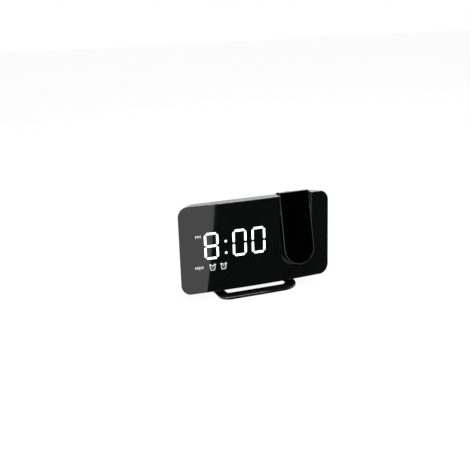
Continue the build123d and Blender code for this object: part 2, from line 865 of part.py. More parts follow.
with BuildPart() as coin_cell:
    with BuildSketch(at_depth(well_y + 0.3 + cell_t)):
        with Locations(cell_place):
            Circle(cell_r)
    extrude(amount=cell_t)
    chamfer(coin_cell.edges().sort_by(Axis.Y)[0], 0.3)

with BuildPart() as battery_door:
    with BuildSketch(at_depth(rear_y)):
        with Locations(cell_place):
            Circle(door_r)
    extrude(amount=door_t)
    with BuildSketch(at_depth(rear_y)):
        with Locations(cell_place):
            SlotOverall(door_r, 1.8)
    extrude(amount=door_t / 2, mode=Mode.SUBTRACT)

# ---- loop stand, its screws and its pads ----
loop_front_y = face_y - loop_front
loop_back_y = rear_y + loop_behind
loop_depth = loop_back_y - loop_front_y
loop_middle = (loop_x, (loop_front_y + loop_back_y) / 2)
loop_bottom = pad_t - pad_sunk
hole_front_y = loop_front_y + loop_front_bar
hole_back_y = loop_back_y - loop_rear_bar
rib_y = face_y + rib_back + rib_l / 2
with BuildPart() as base_loop:
    with BuildSketch(Plane.XY.offset(loop_bottom)):
        with Locations(loop_middle):
            outer = Rectangle(loop_w, loop_depth)
        fillet(outer.vertices().group_by(Axis.X)[0], loop_corner_r)
        fillet(vertices().group_by(Axis.X)[-1], loop_end_r)
        with BuildSketch(Plane.XY.offset(loop_bottom), mode=Mode.PRIVATE) as hole:
            with Locations((loop_x, (hole_front_y + hole_back_y) / 2)):
                Rectangle(loop_w - 2 * loop_bar, hole_back_y - hole_front_y)
            fillet(hole.vertices().group_by(Axis.X)[0], loop_inner_r)
            fillet(hole.vertices().group_by(Axis.X)[-1], loop_end_inner_r)
        add(hole.sketch, mode=Mode.SUBTRACT)
    extrude(amount=loop_t)
    fillet(base_loop.faces().sort_by(Axis.Z)[-1].edges(), loop_edge_r)
    # a rib on each side bar, up to the underside of the case
    with BuildSketch(Plane.XY.offset(case_lift)):
        for side in (-1, 1):
            with Locations((loop_x + side * (loop_w - loop_bar) / 2, rib_y)):
                RectangleRounded(rib_w, rib_l, rib_w / 3)
    extrude(amount=loop_bottom + loop_t / 2 - case_lift)
    with BuildSketch(at_depth(rear_y + upright_t)):
        with Locations((upright_x, loop_bottom + loop_t / 2 + upright_h / 2)):
            Rectangle(upright_w, upright_h)
    extrude(amount=upright_t)
    fillet(base_loop.edges().filter_by(Axis.Y).group_by(Axis.Z)[-1], upright_t)
    for side in (-1, 1):
        with BuildSketch(Plane.YZ.offset(upright_x + side * upright_w / 2)):
            with BuildLine():
                Polyline(
                    (rear_y + upright_t, loop_bottom + loop_t / 2),
                    (loop_back_y - 2 * loop_edge_r, loop_bottom + loop_t / 2),
                    (rear_y + upright_t, upright_h * 0.7),
                    close=True,
                )
            make_face()
        extrude(amount=-side * gusset_t)
    with BuildSketch(at_depth(rear_y + upright_t)):
        with Locations(*stand_screw_places):
            Circle(screw_r + fit)
    extrude(amount=upright_t, mode=Mode.SUBTRACT)
    pad_x = (loop_x - loop_w / 2 + pad_inset, loop_x + loop_w / 2 - pad_end_inset)
    pad_y = (loop_front_y + loop_front_bar / 2, loop_back_y - loop_rear_bar / 2)
    pad_places = [(x, y) for x in pad_x for y in pad_y]
    with BuildSketch(Plane.XY.offset(loop_bottom)):
        with Locations(*pad_places):
            Circle(pad_r)
    extrude(amount=pad_sunk, mode=Mode.SUBTRACT)

base_screws = screws(
    at_depth(rear_y + upright_t),
    stand_screw_places,
    screw_head_r,
    screw_head_t,
    screw_r,
    upright_t + wall + stand_screw_bite,
)

with BuildPart() as foot_pads:
    with BuildSketch(Plane.XY):
        with Locations(*pad_places):
            Circle(pad_r)
    extrude(amount=pad_t)

# ---- projector arm: two shells round the optics, on two hollow pins ----
arm_outer = arm_form(0)
arm_inner = arm_form(arm_wall)
knob_place = (optic_x + barrel_r - 0.4 + rack_back + gear_module * gear_teeth / 2, 0)
rack_middle = arm_up - barrel_sunk - barrel_l + rack_l / 2 + 0.5
knob_place = (knob_place[0], rack_middle)
gear_front = gear_d + gear_t / 2
gear_back = gear_d - gear_t / 2
knob_boss_r = 2.4

with BuildPart() as arm_front_shell:
    add(arm_outer)
    split(bisect_by=arm_plane(0), keep=Keep.TOP)
    add(arm_inner, mode=Mode.SUBTRACT)
    with BuildSketch(arm_plane(0)):
        with Locations(*arm_posts):
            Circle(arm_post_r)
    extrude(amount=pivot_back - arm_wall)
    with BuildSketch(arm_plane(0)):
        with Locations(*arm_posts):
            Circle(small_screw_r + bore_gap)
    extrude(amount=pivot_back - arm_wall - 0.7, mode=Mode.SUBTRACT)
    with BuildSketch(arm_plane(gear_front + fit)):
        with Locations(knob_place):
            Circle(knob_boss_r)
            Circle(shaft_r + bore_gap, mode=Mode.SUBTRACT)
    extrude(amount=pivot_back - arm_wall - gear_front - fit)
    with BuildSketch(arm_section(arm_up)):
        with Locations((optic_x, -optic_d)):
            Circle(barrel_r + fit)
    extrude(amount=-2 * arm_wall, mode=Mode.SUBTRACT)
    with BuildSketch(Plane.YZ.offset(arm_x)):
        with Locations((pivot_y, pivot_z)):
            Circle(pin_r)
    extrude(amount=arm_w, both=True, mode=Mode.SUBTRACT)

with BuildPart() as arm_rear_shell:
    add(arm_outer)
    split(bisect_by=arm_plane(0), keep=Keep.BOTTOM)
    add(arm_inner, mode=Mode.SUBTRACT)
    for place in arm_posts:
        post_back = arm_low_back if place[1] < bulge_foot else arm_back
        with BuildSketch(arm_plane(0)):
            with Locations(place):
                Circle(arm_post_r)
        extrude(amount=-(post_back - arm_wall))
        with BuildSketch(arm_plane(0)):
            with Locations(place):
                Circle(small_screw_r + bore_gap)
        extrude(amount=-post_back, mode=Mode.SUBTRACT)
        with BuildSketch(arm_plane(-arm_back + small_head_t + fit)):
            with Locations(place):
                Circle(small_head_r + fit / 2)
        extrude(amount=-arm_low_back, mode=Mode.SUBTRACT)
    with BuildSketch(arm_plane(gear_back - fit)):
        with Locations(knob_place):
            Circle(knob_boss_r)
    extrude(amount=-(arm_back - arm_wall + gear_back - fit))
    with BuildSketch(arm_plane(-arm_back)):
        with Locations(knob_place):
            Circle(shaft_r + bore_gap)
    extrude(amount=arm_back + gear_back - fit, mode=Mode.SUBTRACT)
    with BuildSketch(arm_section(arm_up)):
        with Locations((optic_x, -optic_d)):
            Circle(barrel_r + fit)
    extrude(amount=-2 * arm_wall, mode=Mode.SUBTRACT)
    with BuildSketch(Plane.YZ.offset(arm_x)):
        with Locations((pivot_y, pivot_z)):
            Circle(pin_r)
    extrude(amount=arm_w, both=True, mode=Mode.SUBTRACT)

arm_screws = screws(
    arm_plane(-arm_back + small_head_t + fit),
    arm_posts,
    small_head_r,
    small_head_t,
    small_screw_r,
    arm_screw_l,
)

# ---- pivot: pins fixed in the arm, turning in bosses of the front housing ----
pin_inside = arm_w / 2 - arm_wall
clip_at = notch_r + wall + pin_boss_l + clip_play
pin_end = clip_at + clip_t + 0.8
with BuildPart() as pivot_pins:
    for outwards in (-1, 1):
        with BuildSketch(Plane.YZ.offset(arm_x + outwards * (pin_inside - pin_head_t))):
            with Locations((pivot_y, pivot_z)):
                Circle(pin_head_r)
        extrude(amount=outwards * pin_head_t)
        with BuildSketch(Plane.YZ.offset(arm_x + outwards * pin_inside)):
            with Locations((pivot_y, pivot_z)):
                Circle(pin_r)
        extrude(amount=outwards * (pin_end - pin_inside))
        with BuildSketch(Plane.YZ.offset(arm_x + outwards * clip_at)):
            with Locations((pivot_y, pivot_z)):
                Circle(pin_r + 1)
                Circle(pin_r - 0.4, mode=Mode.SUBTRACT)
        extrude(amount=outwards * clip_t, mode=Mode.SUBTRACT)
        with BuildSketch(Plane.YZ.offset(arm_x)):
            with Locations((pivot_y, pivot_z)):
                Circle(pin_bore_r)
        extrude(amount=outwards * (pin_end + 1), mode=Mode.SUBTRACT)

with BuildPart() as pivot_clips:
    for outwards in (-1, 1):
        with BuildSketch(Plane.YZ.offset(arm_x + outwards * clip_at)):
            with Locations((pivot_y, pivot_z)):
                Circle(clip_r)
                Circle(pin_r - 0.4, mode=Mode.SUBTRACT)
            with Locations((pivot_y, pivot_z - clip_r)):
                Rectangle(pin_r, 2 * clip_r, mode=Mode.SUBTRACT)
        extrude(amount=outwards * clip_t)

with BuildPart() as friction_washers:
    for outwards in (-1, 1):
        with BuildSketch(Plane.YZ.offset(arm_x + outwards * arm_w / 2)):
            with Locations((pivot_y, pivot_z)):
                Circle(washer_r)
                Circle(pin_r, mode=Mode.SUBTRACT)
        extrude(amount=outwards * (side_gap - 2 * bore_gap))

# ---- projector optics along the arm ----
housing_top = arm_up - arm_wall - 0.2
optics_depth = arm_t - 2 * arm_wall - 0.2
bore_r = barrel_r + bore_gap
light = (optic_x, -optic_d)
gear_r = gear_module * gear_teeth / 2
gear_tip_r = gear_r + gear_module * 0.9
window_x0 = 2.0
with BuildPart() as optics_housing:
    with BuildSketch(arm_section(optics_foot)):
        with Locations(light):
            Rectangle(optics_w, optics_depth)
            Circle(bore_r, mode=Mode.SUBTRACT)
    extrude(amount=housing_top - optics_foot)
    with BuildSketch(arm_plane(gear_back - fit)):
        with Locations((optic_x + (window_x0 + optics_w) / 2, rack_middle)):
            Rectangle(optics_w - window_x0, rack_l + 4 * lens_travel)
    extrude(amount=gear_t + 2 * fit, mode=Mode.SUBTRACT)
    with BuildSketch(arm_section(slide_level - bore_gap)):
        with Locations(light):
            Rectangle(slide_w + 2 * slide_play, slide_w + 2 * slide_play)
    extrude(amount=slide_t + 2 * bore_gap, mode=Mode.SUBTRACT)

with BuildPart() as image_slide:
    with BuildSketch(arm_section(slide_level)):
        with Locations(light):
            Rectangle(slide_w, slide_w)
    extrude(amount=slide_t)

with BuildPart() as condenser_lens:
    with BuildSketch(arm_section(condenser_level)):
        with Locations(light):
            Circle(bore_r - bore_gap)
    extrude(amount=2.5)
    fillet(condenser_lens.edges().sort_by(arm_upwards)[-1], 1.2)

with BuildPart() as led_board:
    with BuildSketch(arm_section(optics_foot)):
        with Locations(light):
            Rectangle(optics_w, optics_depth)
    extrude(amount=-board_t)

with BuildPart() as projector_led:
    with BuildSketch(arm_section(optics_foot)):
        with Locations(light):
            Circle(lamp_r)
    extrude(amount=lamp_l)
    fillet(projector_led.edges().sort_by(arm_upwards)[-1], lamp_r - 0.3)

with BuildPart() as heat_sink:
    with BuildSketch(arm_section(optics_foot - board_t)):
        with Locations(light):
            Rectangle(optics_w, optics_depth)
    extrude(amount=-2)
    with BuildSketch(arm_section(optics_foot - board_t - 2)):
        with Locations(light):
            with GridLocations((optics_w - fin_t) / 4, 0, 5, 1):
                Rectangle(fin_t, optics_depth)
    extrude(amount=-sink_l)

# ---- lens barrel with its rack, and the knob with its gear ----
barrel_foot = arm_up - barrel_sunk - barrel_l
pitch = pi * gear_module
rack_x = knob_place[0] - gear_r
tooth_half = (pitch - backlash) / 4
addendum = gear_module * 0.9
dedendum = gear_module * 1.2
lean = addendum * 0.36
with BuildPart() as lens_barrel:
    with BuildSketch(arm_section(barrel_foot)):
        with Locations(light):
            Circle(barrel_r)
            Circle(barrel_bore_r, mode=Mode.SUBTRACT)
    extrude(amount=barrel_l)
    with BuildSketch(arm_plane(gear_back)):
        with Locations(((optic_x + barrel_bore_r + rack_x - dedendum) / 2, rack_middle)):
            Rectangle(rack_x - dedendum - optic_x - barrel_bore_r, rack_l)
        for tooth in range(-3, 4):
            with Locations((rack_x, rack_middle + tooth * pitch)):
                Polygon(
                    (-dedendum, -tooth_half - lean),
                    (addendum, -tooth_half + lean),
                    (addendum, tooth_half - lean),
                    (-dedendum, tooth_half + lean),
                    align=None,
                )
    extrude(amount=gear_t)

with BuildPart() as projection_lens:
    with BuildSketch(arm_section(barrel_foot + barrel_l - 1)):
        with Locations(light):
            Circle(barrel_bore_r)
    extrude(amount=-lens_t)
    fillet(projection_lens.edges().sort_by(arm_upwards)[-1], 0.9)

with BuildPart() as focus_knob:
    with BuildSketch(arm_plane(-arm_back - fit)):
        with Locations(knob_place):
            Circle(knob_r)
        with Locations(knob_place):
            with PolarLocations(knob_r, knob_ribs):
                Circle(0.35, mode=Mode.SUBTRACT)
    extrude(amount=-knob_t)
    with BuildSketch(arm_plane(-arm_back - fit)):
        with Locations(knob_place):
            Circle(shaft_r)
    extrude(amount=arm_back + fit + gear_front + fit + 1.5)
    with BuildSketch(arm_plane(gear_back)):
        with Locations(knob_place):
            Circle(gear_r - dedendum)
        # a gap between two teeth faces the rack's middle tooth
        for tooth in range(gear_teeth):
            turn = 180 + (tooth + 0.5) * 360 / gear_teeth
            with Locations(Location((knob_place[0], knob_place[1]), turn)):
                Polygon(
                    (gear_r - 2 * dedendum, -tooth_half - lean),
                    (gear_r + addendum, -tooth_half + lean),
                    (gear_r + addendum, tooth_half - lean),
                    (gear_r - 2 * dedendum, tooth_half + lean),
                    align=None,
                )
    extrude(amount=gear_t)

pieces = {
    "front_panel": front_panel,
    "digit_windows": digit_windows,
    "colon_windows": colon_windows,
    "front_housing": front_housing,
    "rear_housing": rear_housing,
    "housing_screws": housing_screws,
    "display_light_box": display_light_box,
    "display_board": display_board,
    "display_leds": display_leds,
    "snooze_switch": snooze_switch,
    "snooze_bar": snooze_bar,
    "main_board": main_board,
    "board_screws": board_screws,
    "button_switches": button_switches,
    **buttons,
    "speaker_basket": speaker_basket,
    "speaker_cone": speaker_cone,
    "usb_output_port": usb_output_port,
    "usb_tongue": usb_tongue,
    "power_inlet": power_inlet,
    "inlet_pin": inlet_pin,
    "cell_contacts": cell_contacts,
    "coin_cell": coin_cell,
    "battery_door": battery_door,
    "base_loop": base_loop,
    "base_screws": base_screws,
    "foot_pads": foot_pads,
    "arm_front_shell": arm_front_shell,
    "arm_rear_shell": arm_rear_shell,
    "arm_screws": arm_screws,
    "pivot_pins": pivot_pins,
    "pivot_clips": pivot_clips,
    "friction_washers": friction_washers,
    "optics_housing": optics_housing,
    "image_slide": image_slide,
    "condenser_lens": condenser_lens,
    "led_board": led_board,
    "projector_led": projector_led,
    "heat_sink": heat_sink,
    "lens_barrel": lens_barrel,
    "projection_lens": projection_lens,
    "focus_knob": focus_knob,
}

os.makedirs("parts", exist_ok=True)
for name, piece in pieces.items():
    piece.part.label = name
    export_step(piece.part, f"parts/{name}.step")

print("origin to panel ends", round(face_y, 3), "pivot", round(pivot_y, 3), round(pivot_z, 3))
print("a foot pad", [round(v, 3) for v in pad_places[0]], "focus knob", [round(v, 3) for v in knob_place])
print("focus gear ratio, metres per radian", gear_r / 1000)
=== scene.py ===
# %% [markdown]
# # A projection alarm clock
# The clock is a wide slab with a gently bowed, high-gloss black face, a lit time display, a swing arm with
# a small projector in a notch on the right, and a flat loop that it stands on. The housings, the arm, the
# screws and the boards come as finished solids. What is left is what a photographer and a finisher do:
# choose the view, light the gloss, give every surface the finish that the real one has, and add the signs
# and the print.

# %% Load the solids
import json
import math

import bmesh
import bpy
import numpy as np
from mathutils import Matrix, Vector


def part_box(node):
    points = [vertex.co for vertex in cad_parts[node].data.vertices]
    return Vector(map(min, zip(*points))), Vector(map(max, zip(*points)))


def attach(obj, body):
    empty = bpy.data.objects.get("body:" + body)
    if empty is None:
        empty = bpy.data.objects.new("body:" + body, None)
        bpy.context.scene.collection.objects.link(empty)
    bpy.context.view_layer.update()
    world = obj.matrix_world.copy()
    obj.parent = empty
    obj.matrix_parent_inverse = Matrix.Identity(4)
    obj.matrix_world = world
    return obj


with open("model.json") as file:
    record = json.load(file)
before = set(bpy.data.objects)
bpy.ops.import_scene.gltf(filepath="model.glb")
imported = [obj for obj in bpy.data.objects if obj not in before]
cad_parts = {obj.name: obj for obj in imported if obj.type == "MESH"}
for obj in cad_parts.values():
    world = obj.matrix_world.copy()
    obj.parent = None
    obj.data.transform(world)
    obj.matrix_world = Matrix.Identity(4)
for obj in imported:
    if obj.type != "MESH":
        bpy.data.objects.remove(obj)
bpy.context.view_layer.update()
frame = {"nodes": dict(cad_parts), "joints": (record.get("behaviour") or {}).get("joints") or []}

# %% [markdown]
# ## Colours
# Colours of plastics are easiest to judge on a screen, as values from 0 to 255, but the shader works in
# linear light. Linear values could be typed straight in, but nobody can picture them, so one small function
# turns the one into the other. A grey is one value, a tint is three.


# %% From screen values to linear light
def tone(red, green=None, blue=None):
    """A screen colour as linear red, green, blue and alpha. One value gives a grey. With s the value over
    255, the light is s / 12.92 up to s = 0.04045, and ((s + 0.055) / 1.055) to the power 2.4 above it."""
    if green is None:
        green = blue = red
    screen = np.array([red, green, blue]) / 255
    light = np.where(screen <= 0.04045, screen / 12.92, ((screen + 0.055) / 1.055) ** 2.4)
    return (*[float(v) for v in light], 1.0)


print("mid grey 128 in linear light:", round(tone(128)[0], 3))

# %% [markdown]
# ## The view
# The clock is seen from its left and a little above, from about 0.9 m, with a short telephoto lens. A
# camera could follow a target with a constraint. This one is placed by its position and three angles, and
# nothing is shifted, so the same camera can be walked round the clock for other views.


# %% Camera
def placed(name, data):
    """An object that holds this camera, lamp, text or mesh, linked to the scene."""
    thing = bpy.data.objects.new(name, data)
    bpy.context.scene.collection.objects.link(thing)
    return thing


eye = placed("eye", bpy.data.cameras.new("eye"))
eye.location = (-0.31136, -0.79792, 0.32610)
eye.rotation_euler = [math.radians(angle) for angle in (73.1716, 1.8382, -20.5436)]
eye.data.lens = 58.33
eye.data.sensor_width = 36.0
eye.data.clip_start = 0.01
bpy.context.scene.camera = eye
bpy.context.scene.view_settings.view_transform = "Standard"
print("camera distance:", round(float(np.linalg.norm(eye.location)), 3), "m")

# %% [markdown]
# ## Floor and world
# A black gloss object is drawn by what it mirrors, more than by the light that falls on it, so the set
# comes before the lamps. The floor and the world are white to the camera, in mirrors and through glass. As
# light they give less than that. A floor lit up to white by lamps would wash out the clock and its shadow,
# so each of the two asks what kind of ray has reached it and answers accordingly.


# %% Helpers for node materials
shown_to = ("Is Camera Ray", "Is Glossy Ray", "Is Transmission Ray")
white = (1, 1, 1, 1)


def new_material(name):
    """An empty node material with its output node. Returns the material, its nodes, the output node and the
    function that links two sockets."""
    material = bpy.data.materials.new(name)
    material.use_nodes = True
    nodes = material.node_tree.nodes
    nodes.clear()
    return material, nodes, nodes.new("ShaderNodeOutputMaterial"), material.node_tree.links.new


def glow(nodes, strength):
    """An even white light of this strength."""
    shine = nodes.new("ShaderNodeEmission")
    shine.inputs["Color"].default_value = white
    shine.inputs["Strength"].default_value = strength
    return shine.outputs[0]


def shown(nodes, link):
    """1 for a ray of a kind in shown_to and 0 for any other: the largest of their flags."""
    rays = nodes.new("ShaderNodeLightPath")
    flag = rays.outputs[shown_to[0]]
    for kind in shown_to[1:]:
        largest = nodes.new("ShaderNodeMath")
        largest.operation = "MAXIMUM"
        link(flag, largest.inputs[0])
        link(rays.outputs[kind], largest.inputs[1])
        flag = largest.outputs[0]
    return flag


def between(nodes, link, value, low, high):
    """A number that runs from low to high while value runs from 0 to 1: low + value (high - low)."""
    spread = nodes.new("ShaderNodeMapRange")
    spread.inputs["To Min"].default_value = low
    spread.inputs["To Max"].default_value = high
    link(value, spread.inputs["Value"])
    return spread.outputs[0]


def flat_card(name, corners):
    """A flat sheet of the set with these corners, given in order round its edge."""
    mesh = bpy.data.meshes.new(name)
    mesh.from_pydata([tuple(corner) for corner in corners], [], [tuple(range(len(corners)))])
    card = placed(name, mesh)
    return card


print("seen in full by:", shown_to)

# %% White floor that keeps a soft shadow
floor_half = 6
floor_paper = tone(240)
floor_glow = 0.95

white_floor, nodes, output, link = new_material("white floor")
share = nodes.new("ShaderNodeMath")
share.operation = "MULTIPLY"
share.inputs[1].default_value = floor_glow
link(shown(nodes, link), share.inputs[0])
paper = nodes.new("ShaderNodeBsdfDiffuse")
paper.inputs["Color"].default_value = floor_paper
blend = nodes.new("ShaderNodeMixShader")
link(share.outputs[0], blend.inputs[0])
link(paper.outputs[0], blend.inputs[1])
link(glow(nodes, 1.0), blend.inputs[2])
link(blend.outputs[0], output.inputs["Surface"])

floor_corners = [(-floor_half, -floor_half, 0), (floor_half, -floor_half, 0)]
floor_corners += [(floor_half, floor_half, 0), (-floor_half, floor_half, 0)]
floor = flat_card("floor", floor_corners)
floor.data.materials.append(white_floor)
print("floor reflects", round(floor_paper[0], 3), "of the light")

# %% White world, with less of it as light
world_light = 0.35

world = bpy.data.worlds.new("studio")
bpy.context.scene.world = world
world.use_nodes = True
nodes, link = world.node_tree.nodes, world.node_tree.links.new
nodes.clear()
sky = nodes.new("ShaderNodeBackground")
sky.inputs["Color"].default_value = white
link(between(nodes, link, shown(nodes, link), world_light, 1.0), sky.inputs["Strength"])
world_output = nodes.new("ShaderNodeOutputWorld")
link(sky.outputs[0], world_output.inputs["Surface"])
print("world as light:", world_light)

# %% [markdown]
# ## Dark cards
# On a white set the face would mirror white all over. A darker finish wouldn't help, because a reflection
# is as bright on black plastic as on white, so dark cards are set up, as they are round a real black clock.
# One lies on the floor in front of it, and the face mirrors that card. Left of the card's edge the face
# mirrors the white floor, which makes the grey band there. One card stands behind the camera's right side,
# for the tilted arm. A small flag stands close behind the clock and a card lies under it, which keeps the
# walls of the notch and the stand black, and a last flag hangs level over the stand's right end for the
# same reason. Only mirrors see the cards.


# %% Dark cards that only mirrors see
def dark_card(name, corners, radiance):
    """A card of even radiance that shows in reflections, and neither in the view nor as light."""
    card = flat_card(name, corners)
    material, nodes, output, link = new_material(name)
    link(glow(nodes, radiance), output.inputs["Surface"])
    card.data.materials.append(material)
    card.visible_camera = False
    card.visible_diffuse = False
    card.visible_transmission = False
    card.visible_shadow = False


def upright(left, right, y, low, high):
    """Corners of an upright card that faces front and back."""
    return [(left, y, low), (right, y, low), (right, y, high), (left, y, high)]


def level(outline, z):
    """Corners of a level card at height z, from its outline (x, y)."""
    return [(x, y, z) for x, y in outline]


edge_x, edge_y, edge_slope = -0.0584, -0.046, 0.2716
bow, bow_y, bow_reach = 0.0024, -0.46, 0.37


def card_edge(y):
    """Left edge of the floor card: a line through (edge_x, edge_y) that goes edge_slope to the right for
    each metre to the front, and bends left by bow at bow_y, falling off with the square of the distance."""
    return edge_x + edge_slope * (edge_y - y) - bow * (1 - ((y - bow_y) / bow_reach) ** 2)


far_right = 1.6
above_floor = 0.0004
card_y = np.linspace(-1.1, -0.0256, 24)
floor_outline = [(card_edge(y), y) for y in card_y] + [(far_right, card_y[-1]), (far_right, card_y[0])]
shade_outline = [(-0.30, -0.010), (0.12, -0.010), (0.12, 0.055), (-0.30, 0.055)]
end_outline = [(0.012, -0.020), (0.11, -0.020), (0.11, -0.09), (0.045, -0.09)]
dark_card("floor_card", level(floor_outline, above_floor), 0.040)
dark_card("standing_card", upright(0.05, far_right, -1.6, above_floor, 1.2), 0.002)
dark_card("flag", upright(-0.10, 0.12, 0.055, 0.002, 0.100), 0.004)
dark_card("shade_card", level(shade_outline, above_floor), 0.004)
dark_card("end_flag", level(end_outline, 0.03), 0.040)
print("floor card's edge beside the clock: x =", round(card_edge(-0.030), 4))

# %% [markdown]
# ## Lamps
# Four softboxes, which are lamps with a large, even face: a small lamp would show as a hard spot in every
# rounded edge. The key stands high at the front left. A long, low strip behind the clock is mirrored in
# the top of the case, which turns it into the pale line over the face. One lights the back, and one hangs
# overhead, mirrored in the rounded edges of the stand and the arm.


# %% Softboxes
def softbox(name, place, size, power, aim=(0, 0, 0.06)):
    """A rectangular lamp at place that looks at aim, hidden from the camera. It is tipped from straight
    down by a quarter turn plus the slope up to aim, and turned to the side on which aim lies."""
    lamp = bpy.data.lights.new(name, "AREA")
    lamp.shape = "RECTANGLE"
    lamp.size, lamp.size_y = size
    lamp.energy = power
    holder = placed(name, lamp)
    holder.location = place
    towards = np.array(aim, float) - np.array(place, float)
    slope = math.atan2(towards[2], math.hypot(towards[0], towards[1]))
    holder.rotation_euler = (math.pi / 2 + slope, 0, math.atan2(-towards[0], towards[1]))
    holder.visible_camera = False


softbox("key", (-0.9, -1.1, 1.5), (1.0, 1.0), 18)
softbox("strip", (0.40, 1.1, 0.46), (1.8, 0.42), 1.5)
softbox("back", (0.9, 1.3, 1.3), (0.9, 0.9), 12)
softbox("overhead", (0.35, -0.15, 1.4), (1.6, 1.6), 36, aim=(0.35, -0.149, 0))

# %% [markdown]
# ## Finishes
# Moulded plastic is never one flat value: a high-gloss face has a faint orange peel and thin haze where it
# was wiped, and a textured housing has a fine spark-eroded grain. Pictures of such surfaces could be
# wrapped round each piece, but they have seams and one fixed scale. Here each finish is one principled
# shader with noise on the object's own coordinates for its roughness, its tone and its bump, so that the
# pattern is fixed to the piece and turns with it.


# %% What all finishes share
def new_finish(name):
    """A material with one principled shader. Returns the material, its nodes, the link function and the
    shader."""
    material, nodes, output, link = new_material(name)
    shader = nodes.new("ShaderNodeBsdfPrincipled")
    link(shader.outputs[0], output.inputs["Surface"])
    return material, nodes, link, shader


def noise(nodes, link, scale, detail=2.0):
    """Soft noise from 0 to 1 on the object's own coordinates, with about scale patches to the metre."""
    place = nodes.new("ShaderNodeTexCoord")
    pattern = nodes.new("ShaderNodeTexNoise")
    pattern.inputs["Scale"].default_value = scale
    pattern.inputs["Detail"].default_value = detail
    link(place.outputs["Object"], pattern.inputs["Vector"])
    return pattern.outputs["Fac"]


def shades(nodes, link, value, dark, light, start=0.0, end=1.0):
    """A colour that runs from dark to light while value runs from start to end."""
    ramp = nodes.new("ShaderNodeValToRGB")
    first, last = ramp.color_ramp.elements
    first.position, last.position = start, end
    first.color, last.color = dark, light
    link(value, ramp.inputs["Fac"])
    return ramp.outputs["Color"]


def scaled(colour, factor):
    """The colour's red, green and blue times factor, at most 1."""
    return (*[min(channel * factor, 1) for channel in colour[:3]], 1)


print("mid grey, an eighth lighter:", round(scaled(tone(128), 1.125)[0], 3))

# %% One shader for all plain finishes
cloud_scale, cloud_detail = 38.0, 3.0
cloud_start, cloud_end = 0.3, 0.7
tone_spread = 0.12
grain_height = 0.0001


def finish(name, colour, rough, rough_spread=0.05, grain=900.0, bump=0.05, metal=0.0, specular=0.5):
    """A plain finish. Clouds make its roughness wander by rough_spread and its tone by tone_spread. Its
    grain, in bumps per metre, is raised by grain_height times bump."""
    material, nodes, link, shader = new_finish(name)
    shader.inputs["Metallic"].default_value = metal
    shader.inputs["Specular IOR Level"].default_value = specular
    cloud = noise(nodes, link, cloud_scale, cloud_detail)
    smoothest, roughest = max(rough - rough_spread, 0.0), rough + rough_spread
    link(between(nodes, link, cloud, smoothest, roughest), shader.inputs["Roughness"])
    dark, light = scaled(colour, 1 - tone_spread), scaled(colour, 1 + tone_spread)
    link(shades(nodes, link, cloud, dark, light, cloud_start, cloud_end), shader.inputs["Base Color"])
    raised = nodes.new("ShaderNodeBump")
    raised.inputs["Strength"].default_value = bump
    raised.inputs["Distance"].default_value = grain_height
    link(noise(nodes, link, grain), raised.inputs["Height"])
    link(raised.outputs["Normal"], shader.inputs["Normal"])
    return material


print("clouds are about", round(1000 / cloud_scale), "mm wide")

# %% Lit diffusers and clear mouldings
mottle_scale, mottle_dimmest = 300.0, 0.96
cap_smoothest, cap_roughest = 0.15, 0.25
clear_scale, clear_spread = 200.0, 0.03


def glow_finish(name, colour, strength):
    """A lit diffuser: a smooth cap that shines almost evenly, with a faint mottle in its light."""
    material, nodes, link, shader = new_finish(name)
    shader.inputs["Base Color"].default_value = colour
    shader.inputs["Emission Strength"].default_value = strength
    mottle = noise(nodes, link, mottle_scale)
    light = shades(nodes, link, mottle, scaled(colour, mottle_dimmest), colour)
    link(light, shader.inputs["Emission Color"])
    link(between(nodes, link, mottle, cap_smoothest, cap_roughest), shader.inputs["Roughness"])
    return material


def clear_finish(name, colour, rough, ior):
    """A clear moulding or lens, tinted by colour, that bends light by ior and wanders a little in rough."""
    material, nodes, link, shader = new_finish(name)
    shader.inputs["Base Color"].default_value = colour
    shader.inputs["Transmission Weight"].default_value = 1.0
    shader.inputs["IOR"].default_value = ior
    haze = noise(nodes, link, clear_scale)
    link(between(nodes, link, haze, rough, rough + clear_spread), shader.inputs["Roughness"])
    return material


print("a cap's mottle is about", round(1000 / mottle_scale, 1), "mm wide")

# %% [markdown]
# ## What wears which finish
# The face is the glossiest piece, the arm's front a shade deeper, and the stand a little duller. The
# housing's edge is satin, and everything that faces the wall has the grained black of a moulding that
# nobody polishes. Inside there is green and white board, plated metal, bare aluminium and lit caps. Each
# solid could have a material of its own, but the real pieces come from the same few moulds and plates, so
# one table of finishes serves them all.

